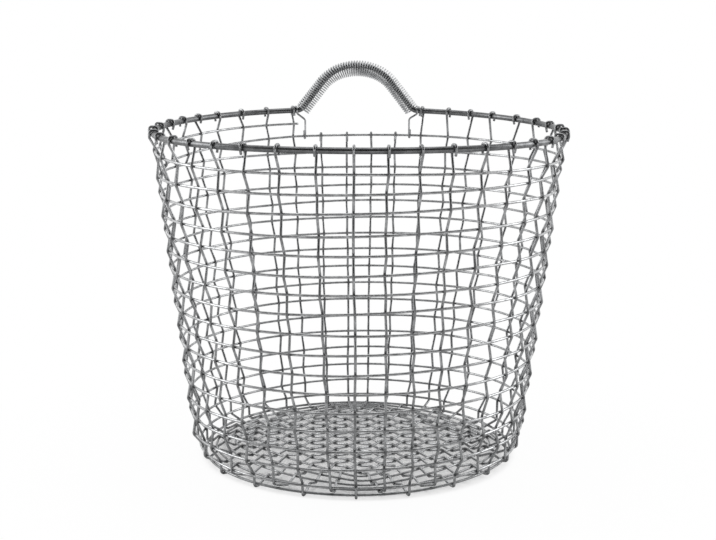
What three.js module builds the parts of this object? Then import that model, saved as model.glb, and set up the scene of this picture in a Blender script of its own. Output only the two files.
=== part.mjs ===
/*
 * A round basket woven by hand from galvanised steel wire, with one arched handle at the back.
 *
 * Ten wires cross the floor from front right to back left and ten from front left to back right, woven
 * through each other as a square mat. Each end fans out to the foot ring, turns up the wall as a stake and
 * hooks over the rim, so the wires make forty stakes. Rings run round the floor and the wall, and each stake
 * passes inside and outside them by turns. The rim rod itself bends up into the handle's arch, which carries
 * a wound spring as its grip.
 *
 * Millimetres and degrees, +Z up. The origin is on the floor, below the middle of the rim. The handle is at
 * +Y. A bearing is an angle about +Z from the front, -Y, towards +X.
 */
import * as THREE from 'three';

// The overall form.
const RIM_RADIUS = 240; // to the middle of the rim rod
const RIM_HEIGHT = 389; // from the floor to the middle of the rim rod
const WALL_FOOT_RADIUS = 193; // where the straight slope of the wall would reach the floor
const FOOT_RADIUS = 184; // to the middle of the foot ring, tucked in below the wall

// Wire and rod diameters, and the play left where two of them pass.
const RIM_ROD = 7;
const STAKE_WIRE = 2.8;
const WEFT_WIRE = 2.8;
const BASE_WIRE = 2.5; // of the rings in the floor
const FOOT_WIRE = 3;
const TIE_WIRE = 2.5;
const SPRING_WIRE = 1.2;
const PLAY = 0.6;
const BASE_PLAY = 0.7; // the steep bends round the rings in the floor stand further off
const RIM_PLAY = 0.4; // the hooks over the rim rod are pulled tighter

// The weave.
const WIRES_EACH_WAY = 10;
const MAT_PITCH = 19.6; // between wires in the mat, the square weave in the middle of the floor
const MAT_TURN = 45; // the bearing that the mat's first side faces
const MAT_LIFT = 7; // the mat's middle above the foot ring's
const RUN_OUT = 9; // how far a wire runs straight on from the mat before it turns towards the foot ring
const BASE_RING_PLACES = [0.13, 0.345, 0.56, 0.775]; // each ring's share of the way from there to the foot ring
const WEFT_RINGS = 16; // closed rings, below the open top weft
const LOWEST_WEFT = 15; // height of the lowest ring, which lies level, close above the foot ring
const LOWEST_RADIUS = 192.5; // its radius: the wall curves in below the second ring
const SECOND_WEFT = 36; // height of the second ring's middle
const WEFT_LEAN = 1.3; // from the second up, the rings stand higher at one side, as hand weaving left them
const LEAN_BEARING = 45; // towards the higher side
const TOP_WEFT_DROP = 17.5; // from the rim down to the top weft's first end
const TOP_WEFT_FALL = 16.5; // from the top weft's first end down to its second
const END_HOOK = 5; // how far a weft's end runs past its stake before it turns back
const FOOT_CORNER = 0.85; // a stake's bend at the foot ring and the lowest weft, over their crossing distance
const UNDER_RUN = 3; // how far a stake lies flat on the floor, inside the foot ring
const HOOK_TAIL = 7; // how far a stake's end comes down past the middle of the rim rod
const SHORT_TAIL = 8; // the same below the top weft, under the handle

// The handle: the rim rod's arch, its grip and its ties.
const HANDLE_SPAN = 164; // along the rim, between the feet
const HANDLE_RISE = 62.5; // from the rim up to the crown, rod middles
const LEG_SLOPE = 51; // of the straight legs
const BEND_RADIUS = 14; // where the legs leave the rim
const SPRING_CURLS = 62;
const SPRING_DIAMETER = 20.5; // outside
const SPRING_PLAY = 0.3; // between the rod and the spring where it hangs
const SPRING_INSET = 2; // left bare at the foot of each leg
// A tie's places on the rod and on the top weft, from the last stake under the handle to the first beside it.
const TIE_ROD_SHARE = 0.76;
const TIE_WEFT_SHARE = 0.4;
const TIE_BEND = 22; // above the top weft, where a tie stops slanting and turns straight down
const TIE_TAIL = 8;
const ROD_BUTT = 0.2; // the joint where the two ends of the rim rod meet

// Facets.
const ROD_SIDES = 8;
const WIRE_SIDES = 4;
const SPRING_SIDES = 3;
const SPRING_CORNER = 0.6; // its section's corners from the middle of the wire, over the diameter
const SPRING_STEPS = 5; // a curl
const BEND_STEPS = 3;
const CROWN_STEPS = 8;

const radians = THREE.MathUtils.degToRad;
const degrees = THREE.MathUtils.radToDeg;
const UP = new THREE.Vector3(0, 0, 1);

// A square wire of the same section area as a round one has this side.
const squareSide = (diameter) => (diameter * Math.sqrt(Math.PI)) / 2;
// The middles of two crossing wires stand this far apart.
const crossing = (one, other, play = PLAY) => (one + other) / 2 + play;

const STAKES = 4 * WIRES_EACH_WAY;
const STAKE_STEP = 360 / STAKES;
const STAKE_HALF = squareSide(STAKE_WIRE) / 2;
const WEFT_OFFSET = crossing(STAKE_WIRE, WEFT_WIRE);
const BASE_OFFSET = crossing(STAKE_WIRE, BASE_WIRE, BASE_PLAY);
const FOOT_OFFSET = crossing(STAKE_WIRE, FOOT_WIRE);
const RIM_OFFSET = crossing(STAKE_WIRE, RIM_ROD, RIM_PLAY);
const FOOT_LEVEL = STAKE_HALF + FOOT_OFFSET; // middle of the foot ring
const MAT_LEVEL = FOOT_LEVEL + MAT_LIFT;
const MAT_CRIMP = crossing(STAKE_WIRE, STAKE_WIRE) / 2;
const WALL_SLOPE = Math.atan2(RIM_RADIUS - WALL_FOOT_RADIUS, RIM_HEIGHT);
const TOP_WEFT_MIDDLE = RIM_HEIGHT - TOP_WEFT_DROP - TOP_WEFT_FALL / 2;
const WEFT_PITCH = (TOP_WEFT_MIDDLE - SECOND_WEFT) / (WEFT_RINGS - 1);
// A stake passes over or inside one crossing wire, +1, and under or outside the next, -1. Its passes are
// numbered from the mat: the base rings, the foot ring, the weft rings, the top weft, the rim.
const passSide = (stake, pass) => ((stake + pass) % 2 ? 1 : -1);
const FOOT_PASS = BASE_RING_PLACES.length + 1;
const TOP_PASS = FOOT_PASS + WEFT_RINGS + 1;

const outward = (bearing) =>
  new THREE.Vector3(Math.sin(radians(bearing)), -Math.cos(radians(bearing)), 0);
const place = (radius, bearing, height) => outward(bearing).multiplyScalar(radius).setZ(height);
const wallRadius = (height) => WALL_FOOT_RADIUS + height * Math.tan(WALL_SLOPE);
const stakeBearing = (stake) => MAT_TURN + STAKE_STEP * (stake - (WIRES_EACH_WAY - 1) / 2);
// The horizontal direction to the right of a heading.
const rightOf = (heading) => new THREE.Vector3(heading.y, -heading.x, 0).normalize();

// A wire's middle line: straight between its points, with its section mitred at every bend. The section's
// first axis at each point is given; its second lies square to that and to the bend's mean direction.
class WirePath extends THREE.Curve {
  constructor(points, firstAxes) {
    super();
    this.points = points;
    this.firstAxes = firstAxes;
  }

  getPoint(t, target = new THREE.Vector3()) {
    const along = t * (this.points.length - 1);
    const from = Math.min(Math.floor(along), this.points.length - 2);
    return target.lerpVectors(this.points[from], this.points[from + 1], along - from);
  }

  getSpacedPoints() {
    return this.points;
  }

  computeFrenetFrames() {
    const last = this.points.length - 1;
    const direction = (from) =>
      new THREE.Vector3().subVectors(this.points[from + 1], this.points[from]).normalize();
    const tangents = [];
    const binormals = [];
    for (let i = 0; i <= last; i += 1) {
      const before = direction(Math.max(i - 1, 0));
      const after = direction(Math.min(i, last - 1));
      const mean = before.clone().add(after).normalize();
      const across = new THREE.Vector3().crossVectors(mean, this.firstAxes[i]).normalize();
      tangents.push(mean);
      binormals.push(across.divideScalar(mean.dot(before)));
    }
    return { tangents, normals: this.firstAxes, binormals };
  }
}

// A regular section with flat sides up, down, left and right, or a point on its first axis if it is odd.
function section(sides, circumradius) {
  const turn = sides % 2 ? 0 : Math.PI / sides;
  const corners = [];
  for (let i = 0; i < sides; i += 1) {
    const angle = turn + (2 * Math.PI * i) / sides;
    corners.push(new THREE.Vector2(circumradius * Math.cos(angle), circumradius * Math.sin(angle)));
  }
  return new THREE.Shape(corners);
}

// The circumradius of a regular polygon with the area of a circle of this diameter.
const equalArea = (sides, diameter) =>
  (diameter / 2) * Math.sqrt((2 * Math.PI) / (sides * Math.sin((2 * Math.PI) / sides)));

function wireGeometry(points, firstAxes, shape) {
  const extrudePath = new WirePath(points, firstAxes);
  return new THREE.ExtrudeGeometry(shape, { steps: points.length - 1, extrudePath });
}

const group = new THREE.Group();

function addPiece(name, geometry, color, roughness) {
  const material = new THREE.MeshStandardMaterial({ color, roughness, metalness: 0.9 });
  const mesh = new THREE.Mesh(geometry, material);
  mesh.name = name;
  group.add(mesh);
  return mesh;
}

const twoDigits = (number) => String(number).padStart(2, '0');

// The handle in the developed plane of the rim's cylinder. Across is measured along the rim from the middle
// of the handle, up from the rim. The crown is an arc, the legs are straight and a bend joins each to the rim.
const slope = radians(LEG_SLOPE);
const halfSpan = HANDLE_SPAN / 2;
const crownRadius = (halfSpan * Math.tan(slope) - HANDLE_RISE) / (1 / Math.cos(slope) - 1);
const bendReach = BEND_RADIUS * Math.tan(slope / 2);
const crownEnd = {
  across: crownRadius * Math.sin(slope),
  up: HANDLE_RISE - crownRadius * (1 - Math.cos(slope)),
};
const bendTop = halfSpan - bendReach * Math.cos(slope);
const crownArc = crownRadius * slope;
const legLength = (bendTop - crownEnd.across) / Math.cos(slope);
const bendArc = BEND_RADIUS * slope;
const handleFoot = halfSpan + bendReach;

// The rod at a length along it from the crown: its place and how far it leans from level.
function handleAt(along) {
  const side = Math.sign(along);
  const length = Math.abs(along);
  if (length <= crownArc) {
    const lean = length / crownRadius;
    const across = side * crownRadius * Math.sin(lean);
    return { across, up: HANDLE_RISE - crownRadius * (1 - Math.cos(lean)), lean: side * lean };
  }
  if (length <= crownArc + legLength) {
    const down = length - crownArc;
    const across = side * (crownEnd.across + down * Math.cos(slope));
    return { across, up: crownEnd.up - down * Math.sin(slope), lean: side * slope };
  }
  const lean = slope - (length - crownArc - legLength) / BEND_RADIUS;
  const across = side * (handleFoot - BEND_RADIUS * Math.sin(lean));
  return { across, up: BEND_RADIUS * (1 - Math.cos(lean)), lean: side * lean };
}

const handleBearing = (across) => 180 - degrees(across / RIM_RADIUS);
const onHandle = (across, up) => place(RIM_RADIUS, handleBearing(across), RIM_HEIGHT + up);

// Stakes between the handle's feet have no rim above them and end on the top weft.
const underHandle = (bearing) => Math.abs(bearing - 180) < degrees(handleFoot / RIM_RADIUS);
const stakeBearings = Array.from({ length: STAKES }, (_, stake) => stakeBearing(stake));
const endBearing = stakeBearings.find((bearing) => bearing > 180 && !underHandle(bearing));

// The rim rod: a circle with a point at each stake that hooks over it, and the arch at the back.
function makeRim() {
  const points = [];
  const axes = [];
  const add = (point, bearing) => {
    points.push(point);
    axes.push(outward(bearing));
  };
  const butt = degrees(ROD_BUTT / 2 / RIM_RADIUS);
  const right = stakeBearings.filter((bearing) => bearing > butt && bearing < 180 && !underHandle(bearing));
  add(place(RIM_RADIUS, butt, RIM_HEIGHT), butt);
  right.forEach((bearing) => add(place(RIM_RADIUS, bearing, RIM_HEIGHT), bearing));
  const arcLengths = [];
  for (let i = 0; i <= BEND_STEPS; i += 1) {
    arcLengths.push(crownArc + legLength + bendArc * (1 - i / BEND_STEPS));
  }
  for (let i = 0; i <= CROWN_STEPS; i += 1) {
    arcLengths.push(crownArc * (1 - (2 * i) / CROWN_STEPS));
  }
  for (let i = 0; i <= BEND_STEPS; i += 1) {
    arcLengths.push(-crownArc - legLength - (bendArc * i) / BEND_STEPS);
  }
  arcLengths.forEach((along) => {
    const { across, up } = handleAt(along);
    add(onHandle(across, up), handleBearing(across));
  });
  right.reverse().forEach((bearing) => add(place(RIM_RADIUS, -bearing, RIM_HEIGHT), -bearing));
  add(place(RIM_RADIUS, -butt, RIM_HEIGHT), -butt);
  const rod = section(ROD_SIDES, equalArea(ROD_SIDES, RIM_ROD));
  addPiece('rim_rod', wireGeometry(points, axes, rod), 0x6f7273, 0.42);
}

// The grip: a spring threaded on the arch. It hangs on the rod, so the rod lies in the top of its bore.
function makeSpring() {
  const coilRadius = equalArea(SPRING_STEPS, SPRING_DIAMETER - SPRING_WIRE);
  const wireReach = SPRING_WIRE * SPRING_CORNER;
  const rodReach = equalArea(ROD_SIDES, RIM_ROD) + SPRING_PLAY + wireReach;
  const hang = coilRadius - rodReach / Math.cos(Math.PI / SPRING_STEPS);
  const reach = crownArc + legLength - SPRING_INSET;
  const steps = SPRING_CURLS * SPRING_STEPS;
  const points = [];
  const axes = [];
  for (let i = 0; i <= steps; i += 1) {
    const { across, up, lean } = handleAt(reach * ((2 * i) / steps - 1));
    const bearing = handleBearing(across - hang * Math.sin(lean));
    const alongRim = rightOf(outward(bearing));
    const over = alongRim.multiplyScalar(Math.sin(lean)).addScaledVector(UP, Math.cos(lean));
    const turn = (2 * Math.PI * i) / SPRING_STEPS;
    const away = over.multiplyScalar(Math.cos(turn)).addScaledVector(outward(bearing), Math.sin(turn));
    const middle = place(RIM_RADIUS, bearing, RIM_HEIGHT + up - hang * Math.cos(lean));
    points.push(middle.addScaledVector(away, coilRadius));
    axes.push(away);
  }
  let least = Infinity;
  points.forEach((point, i) => {
    for (let j = i + SPRING_STEPS - 1; j <= Math.min(i + SPRING_STEPS + 1, steps); j += 1) {
      least = Math.min(least, point.distanceTo(points[j]) - 2 * wireReach * Math.sin(Math.PI / SPRING_SIDES));
    }
  });
  console.log(`handle_spring: least gap between curls ${least.toFixed(2)} mm`);
  const wire = section(SPRING_SIDES, wireReach);
  addPiece('handle_spring', wireGeometry(points, axes, wire), 0x8b8e90, 0.38);
}

// The middle of a weft ring, counted from the lowest, 0, and of the leaning ring where a stake crosses it.
const ringLevel = (ring) => (ring ? SECOND_WEFT + (ring - 1) * WEFT_PITCH : LOWEST_WEFT);
const ringRadius = (ring) => (ring ? wallRadius(ringLevel(ring)) : LOWEST_RADIUS);
const ringLean = (ring) => radians(ring ? WEFT_LEAN : 0);
function ringAt(ring, bearing) {
  const radius = ringRadius(ring);
  const rise = radius * Math.sin(ringLean(ring)) * Math.cos(radians(bearing - LEAN_BEARING));
  return { radius, height: ringLevel(ring) + rise };
}

// The top weft falls evenly through one turn, from its first end at the stake left of the handle.
function topWeftAt(turned) {
  const height = RIM_HEIGHT - TOP_WEFT_DROP - (TOP_WEFT_FALL * turned) / 360;
  return { radius: wallRadius(height), height };
}
const turnFromEnd = (bearing) => THREE.MathUtils.euclideanModulo(bearing - endBearing, 360);

// A point beside a weft, out along the wall's normal.
function besideWeft(weft, bearing, out) {
  const radius = weft.radius + out * Math.cos(WALL_SLOPE);
  return place(radius, bearing, weft.height - out * Math.sin(WALL_SLOPE));
}

// A wire's offset from the middle of the mat.
const matOffset = (wire) => MAT_PITCH * (wire - (WIRES_EACH_WAY - 1) / 2);
const matEdge = matOffset(WIRES_EACH_WAY - 1);
const onMat = (x, y) => new THREE.Vector3(x, y, 0).applyAxisAngle(UP, radians(MAT_TURN));

// The direction in which a stake's wire leaves the mat, and where it stops running straight on from it.
const leavesTowards = (stake) => outward(MAT_TURN + 90 * Math.floor(stake / WIRES_EACH_WAY));
function runsOutTo(stake) {
  const heading = leavesTowards(stake);
  const offset = matOffset(stake % WIRES_EACH_WAY);
  return heading.clone().multiplyScalar(matEdge + RUN_OUT).addScaledVector(rightOf(heading), -offset);
}

// The point on the ground plan at a share of the way from there to the foot ring, and the floor's height there.
const towardsFoot = (stake, share) => runsOutTo(stake).lerp(place(FOOT_RADIUS, stakeBearing(stake), 0), share);
const floorLevel = (share) => FOOT_LEVEL + MAT_LIFT * (1 - share);

// The outermost wires cross each other at the mat's corners and run on past the crossing before they turn.
const atCorner = (stake) => [0, WIRES_EACH_WAY - 1].includes(stake % WIRES_EACH_WAY);

// A stake's middle line from the mat to its tip, as points with their outward headings.
function stakeLine(stake) {
  const bearing = stakeBearing(stake);
  const radial = outward(bearing);
  const fan = towardsFoot(stake, 1).sub(runsOutTo(stake)).normalize();
  const line = [];
  const add = (point, heading) => line.push({ point, heading });

  if (atCorner(stake)) {
    add(runsOutTo(stake).setZ(MAT_LEVEL), leavesTowards(stake).add(fan));
  }
  BASE_RING_PLACES.forEach((share, index) => {
    const height = floorLevel(share) + passSide(stake, index + 1) * BASE_OFFSET;
    add(towardsFoot(stake, share).setZ(height), fan);
  });

  const low = WEFT_OFFSET * FOOT_CORNER;
  if (passSide(stake, FOOT_PASS) > 0) {
    const foot = FOOT_OFFSET * FOOT_CORNER;
    add(place(FOOT_RADIUS - foot, bearing, FOOT_LEVEL + foot), radial);
    add(place(LOWEST_RADIUS + low, bearing, LOWEST_WEFT - low), radial);
  } else {
    add(place(FOOT_RADIUS - UNDER_RUN, bearing, STAKE_HALF), radial);
    add(place(FOOT_RADIUS + FOOT_OFFSET, bearing, STAKE_HALF), radial);
    add(place(LOWEST_RADIUS - WEFT_OFFSET, bearing, LOWEST_WEFT + STAKE_HALF), radial);
  }

  for (let ring = 1; ring < WEFT_RINGS; ring += 1) {
    const out = -passSide(stake, FOOT_PASS + 1 + ring) * WEFT_OFFSET;
    add(besideWeft(ringAt(ring, bearing), bearing, out), radial);
  }

  const isEnd = bearing === endBearing;
  const top = topWeftAt(isEnd ? 360 : turnFromEnd(bearing));
  const topSide = passSide(stake, TOP_PASS);
  add(besideWeft(top, bearing, -topSide * WEFT_OFFSET), radial);
  if (underHandle(bearing)) {
    const over = top.height + WEFT_OFFSET;
    add(place(top.radius - topSide * WEFT_OFFSET, bearing, over), radial);
    add(place(top.radius + topSide * WEFT_OFFSET, bearing, over), radial);
    add(place(top.radius + topSide * WEFT_OFFSET, bearing, top.height - SHORT_TAIL), radial);
    return line;
  }
  if (isEnd) {
    add(besideWeft(topWeftAt(0), bearing, topSide * WEFT_OFFSET), radial);
  }

  const rimSide = isEnd ? topSide : -topSide;
  const near = RIM_RADIUS - rimSide * RIM_OFFSET;
  const far = RIM_RADIUS + rimSide * RIM_OFFSET;
  add(place(near, bearing, RIM_HEIGHT - RIM_ROD / 4), radial);
  add(place(near, bearing, RIM_HEIGHT + RIM_OFFSET), radial);
  add(place(far, bearing, RIM_HEIGHT + RIM_OFFSET), radial);
  add(place(far, bearing, RIM_HEIGHT - HOOK_TAIL), radial);
  return line;
}

const stakeSection = section(WIRE_SIDES, equalArea(WIRE_SIDES, STAKE_WIRE));

// One wire from tip to tip: down one wall, across the floor and up the opposite wall.
function makeWire(name, firstStake, lastStake, matPoints) {
  const heading = leavesTowards(lastStake);
  const mat = matPoints.map((point) => ({ point, heading }));
  const first = stakeLine(firstStake)
    .reverse()
    .map((station) => ({ point: station.point, heading: station.heading.clone().negate() }));
  const line = [...first, ...mat, ...stakeLine(lastStake)];
  const points = line.map((station) => station.point);
  const axes = line.map((station) => rightOf(station.heading));
  addPiece(name, wireGeometry(points, axes, stakeSection), 0x7d8081, 0.45);
}

function makeWires() {
  const wires = Array.from({ length: WIRES_EACH_WAY }, (_, wire) => wire);
  const crimp = (one, other) => ((one + other) % 2 ? MAT_CRIMP : -MAT_CRIMP);
  wires.forEach((wire) => {
    const number = twoDigits(wire + 1);
    const offset = matOffset(wire);
    const fromRight = wires.map((other) =>
      onMat(offset, matOffset(other)).setZ(MAT_LEVEL + crimp(wire, other)),
    );
    makeWire(`front_right_wire_${number}`, wire, 3 * WIRES_EACH_WAY - 1 - wire, fromRight);
    const fromLeft = wires.map((other) =>
      onMat(matOffset(other), offset).setZ(MAT_LEVEL - crimp(wire, other)),
    );
    makeWire(`front_left_wire_${number}`, STAKES - 1 - wire, WIRES_EACH_WAY + wire, fromLeft);
  });
}

// A round ring of square wire whose section leans with the wall. Its corners lie where stakes cross it.
function ringGeometry(radius, diameter, lean) {
  const half = squareSide(diameter) / 2;
  const corners = [
    [-half, -half],
    [half, -half],
    [half, half],
    [-half, half],
    [-half, -half],
  ];
  const profile = corners.map(([x, y]) =>
    new THREE.Vector2(x, y).rotateAround(new THREE.Vector2(), -lean).add(new THREE.Vector2(radius, 0)),
  );
  const geometry = new THREE.LatheGeometry(profile, STAKES, radians(STAKE_STEP / 2));
  return geometry.rotateX(Math.PI / 2);
}

function makeWefts() {
  const leanAxis = outward(LEAN_BEARING).cross(UP);
  for (let ring = 0; ring < WEFT_RINGS; ring += 1) {
    const geometry = ringGeometry(ringRadius(ring), WEFT_WIRE, WALL_SLOPE);
    const mesh = addPiece(`weft_${twoDigits(ring + 1)}`, geometry, 0x96999a, 0.45);
    mesh.position.z = ringLevel(ring);
    mesh.quaternion.setFromAxisAngle(leanAxis, ringLean(ring));
  }
}

// The top weft's ends turn round their stake: past it on one side and back on the other.
function makeTopWeft() {
  const points = [];
  const axes = [];
  const wallUp = (bearing) =>
    outward(bearing).multiplyScalar(Math.sin(WALL_SLOPE)).addScaledVector(UP, Math.cos(WALL_SLOPE));
  const add = (turned, past, out) => {
    const weft = topWeftAt(turned);
    const bearing = endBearing + turned + degrees(past / weft.radius);
    points.push(besideWeft(weft, bearing, out));
    axes.push(wallUp(bearing));
  };
  const hookOut = -2 * WEFT_OFFSET * passSide(stakeBearings.indexOf(endBearing), TOP_PASS);
  add(0, END_HOOK, -hookOut);
  add(0, -END_HOOK, -hookOut);
  add(0, -END_HOOK, 0);
  for (let step = 0; step <= STAKES; step += 1) {
    add(step * STAKE_STEP, 0, 0);
  }
  add(360, END_HOOK, 0);
  add(360, END_HOOK, hookOut);
  add(360, -END_HOOK, hookOut);
  const wire = section(WIRE_SIDES, equalArea(WIRE_SIDES, WEFT_WIRE));
  addPiece('weft_top', wireGeometry(points, axes, wire), 0x96999a, 0.45);
}

// A base ring: a flat loop through the places where the forty wires cross it, from square to round. Its
// square section stands on a corner, clear of the wires that slope past it. The corners of a round ring are
// moved to the loop.
function makeBaseRings() {
  const half = squareSide(BASE_WIRE) * Math.SQRT1_2;
  const corners = [
    [0, -half],
    [half, 0],
    [0, half],
    [-half, 0],
    [0, -half],
  ];
  BASE_RING_PLACES.forEach((share, index) => {
    const loop = stakeBearings.map((_, stake) => towardsFoot(stake, share));
    const profile = corners.map(([x, y]) => new THREE.Vector2(FOOT_RADIUS + x, y));
    const geometry = new THREE.LatheGeometry(profile, STAKES).rotateX(Math.PI / 2);
    const position = geometry.attributes.position;
    for (let i = 0; i < position.count; i += 1) {
      const stake = Math.floor(i / corners.length) % STAKES;
      const [aside, up] = corners[i % corners.length];
      const out = rightOf(loop[(stake + 1) % STAKES].clone().sub(loop.at(stake - 1)));
      const corner = loop[stake].clone().addScaledVector(out, aside);
      position.setXYZ(i, corner.x, corner.y, up);
    }
    const mesh = addPiece(`base_ring_${index + 1}`, geometry, 0x8f9293, 0.5);
    mesh.position.z = floorLevel(share);
  });
}

function makeFootRing() {
  const mesh = addPiece('foot_ring', ringGeometry(FOOT_RADIUS, FOOT_WIRE, 0), 0x85888a, 0.45);
  mesh.position.z = FOOT_LEVEL;
}

// A tie: over the rim rod at the foot of a leg, slanting in below the spring and down to a hook under the
// top weft. Side is +1 on the right.
function makeTie(name, side) {
  const lastUnder = endBearing - STAKE_STEP - 180;
  const onRod = lastUnder + TIE_ROD_SHARE * STAKE_STEP;
  const onWeft = lastUnder + TIE_WEFT_SHARE * STAKE_STEP;
  const intoBend = Math.max(handleFoot - radians(onRod) * RIM_RADIUS, 0);
  const lean = Math.asin(intoBend / BEND_RADIUS);
  const rise = BEND_RADIUS * (1 - Math.cos(lean));
  const half = squareSide(TIE_WIRE) / 2;
  const rod = crossing(TIE_WIRE, RIM_ROD);
  const over = RIM_HEIGHT + rise + rod / Math.cos(lean) + half * Math.tan(lean);
  const rodBearing = 180 - side * onRod;
  const weftBearing = 180 - side * onWeft;
  const weft = topWeftAt(turnFromEnd(weftBearing));
  const hook = crossing(TIE_WIRE, WEFT_WIRE);
  const line = [
    [RIM_RADIUS + rod, rodBearing, RIM_HEIGHT - TIE_TAIL],
    [RIM_RADIUS + rod, rodBearing, over],
    [RIM_RADIUS - rod, rodBearing, over],
    [RIM_RADIUS - rod, rodBearing, RIM_HEIGHT - RIM_ROD / 2],
    [weft.radius - hook, weftBearing, weft.height + TIE_BEND],
    [weft.radius - hook, weftBearing, weft.height - hook],
    [weft.radius + hook, weftBearing, weft.height - hook],
    [weft.radius + hook, weftBearing, weft.height + TIE_TAIL],
  ];
  const points = line.map(([radius, bearing, height]) => place(radius, bearing, height));
  const axes = line.map(([, bearing]) => rightOf(outward(bearing)));
  const wire = section(WIRE_SIDES, equalArea(WIRE_SIDES, TIE_WIRE));
  addPiece(name, wireGeometry(points, axes, wire), 0x85888a, 0.45);
}

makeRim();
makeSpring();
makeTie('handle_tie_left', -1);
makeTie('handle_tie_right', 1);
makeWires();
makeBaseRings();
makeFootRing();
makeWefts();
makeTopWeft();

export default group;
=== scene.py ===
import bpy
import numpy as np
from mathutils import Matrix


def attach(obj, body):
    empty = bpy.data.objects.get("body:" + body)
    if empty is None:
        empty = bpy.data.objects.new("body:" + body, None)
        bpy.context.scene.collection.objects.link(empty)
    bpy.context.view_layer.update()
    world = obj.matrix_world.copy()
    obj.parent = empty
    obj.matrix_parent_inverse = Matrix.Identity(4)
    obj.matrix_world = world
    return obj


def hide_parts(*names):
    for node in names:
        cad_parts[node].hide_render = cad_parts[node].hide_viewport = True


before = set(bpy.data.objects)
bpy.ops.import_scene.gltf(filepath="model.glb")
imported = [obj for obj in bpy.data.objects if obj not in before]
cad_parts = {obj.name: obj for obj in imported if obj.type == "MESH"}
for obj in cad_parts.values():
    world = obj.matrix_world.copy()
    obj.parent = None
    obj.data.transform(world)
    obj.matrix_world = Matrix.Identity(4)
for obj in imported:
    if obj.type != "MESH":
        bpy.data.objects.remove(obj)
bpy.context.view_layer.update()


# The floor and wall wires. Twenty galvanised steel wires lie slantwise across the floor, ten each way, woven
# over and under each other as a mat. Each end fans out, turns up at the foot ring, is crimped in and out of
# the wefts as a stake and hooked over the rim rod. All lengths are in millimetres, a bearing is in degrees.
STAKE_WIRE = 3.0
WIRES_EACH_WAY = 10
STAKES = 4 * WIRES_EACH_WAY
STAKE_STEP = 360 / STAKES
RIM_RADIUS = 239.5
RIM_HEIGHT = 389.0
RIM_ROD = 7.0
WALL_FOOT_RADIUS = 193.0
WALL_SLOPE = np.arctan2(RIM_RADIUS - WALL_FOOT_RADIUS, RIM_HEIGHT)
FOOT_RADIUS = 184.0
FOOT_LEVEL = 4.7
MAT_LEVEL = 11.7
MAT_CRIMP = 1.5
MAT_PITCH = 19.6
MAT_EDGE = MAT_PITCH * (WIRES_EACH_WAY - 1) / 2
MAT_TURN = 45.0
RUN_OUT = 9.0
BASE_RING_PLACES = np.array([0.13, 0.345, 0.56, 0.775])
FOOT_PASS = len(BASE_RING_PLACES) + 1
RING_CROSSING = 3.25
WEFT_CROSSING = 3.1
HOOK_REACH = 5.0
WEFT_RINGS = 16
TOP_PASS = FOOT_PASS + WEFT_RINGS + 1
LOWEST_WEFT = 15.0
LOWEST_RADIUS = 191.0
SECOND_WEFT = 36.0
TOP_WEFT_DROP = 17.5
TOP_WEFT_FALL = 16.5
TOP_WEFT_EXTRA = 67.0
EXTRA_STEEPNESS = 0.125
WEFT_PITCH = (RIM_HEIGHT - TOP_WEFT_DROP - TOP_WEFT_FALL / 2 - SECOND_WEFT) / (WEFT_RINGS - 1)
WEFT_LEAN = np.radians(1.3)
LEAN_BEARING = 45.0
END_STAKE = 22
UNDER_HANDLE = (18, 19, 20, 21)
LEAN_TOP = 250.0
FOOT_LIFT = 3.5
LIFT_TOP = 80.0
RIM_OFFSET = 0.75
RIM_SADDLE = 1.95
RIM_TILT = 0.9
FRONT_SAG = 1.5
SAG_RINGS = 10
WAVE_OUT, WAVE_UP = 0.4, 1.1
LOWEST_WAVE_OUT, LOWEST_WAVE_UP = 0.3, 0.5
INSIDE_FOOT, OUTSIDE_LOWEST = 2.8, 2.6
UNDER_FOOT_IN, UNDER_FOOT_OUT = 3.0, 3.4
ABOVE_LOWEST = 1.2
HOOK_SHOULDER, HOOK_TAIL, HOOK_CLOSING = 1.6, 6.6, 0.72
SHORT_TAIL = 8.0
MAT_BEND, BASE_BEND, WALL_BEND = 6.0, 3.0, 4.0
INSIDE_FOOT_BENDS = [4.0, 4.0]
UNDER_FOOT_BENDS = [3.0, 3.2, 5.0]
RIM_HOOK_BENDS = [3.5, 4.95, 4.95, 3.0, 1.0]
SHORT_HOOK_BENDS = [2.8, 2.8, 1.0]
WEFT_SEED, STAKE_SEED, MAT_SEED, MAT_SEED_STEP = 99, 500, 900, 50
WIRE_SIDES = 10
MILLIMETRE = 0.001
UPRIGHT = np.array([0.0, 0.0, 1.0])


def outward(bearing):
    """The level direction at a bearing, turned from the front, -Y, towards the right, +X."""
    turn = np.radians(np.asarray(bearing, float))
    return np.stack([np.sin(turn), -np.cos(turn), np.zeros_like(turn)], -1)


def place(radius, bearing, height):
    """The point at a radius and bearing about the upright axis, at a height."""
    spots = outward(bearing) * np.asarray(radius, float)[..., None]
    spots[..., 2] = height
    return spots


def right_of(heading):
    """The level unit vector to the right of a heading: its plan turned by a quarter."""
    side = np.stack([heading[..., 1], -heading[..., 0], np.zeros_like(heading[..., 0])], -1)
    return side / np.linalg.norm(side, axis=-1, keepdims=True)


def bell(value, middle, width):
    """A bell curve, 1 at its middle: e to the power of minus the square of the distance over the width."""
    return np.exp(-(((value - middle) / width) ** 2))


def from_front(bearing):
    """A bearing counted from the front, from -180 to 180 degrees."""
    return (np.asarray(bearing, float) + 180) % 360 - 180


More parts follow.
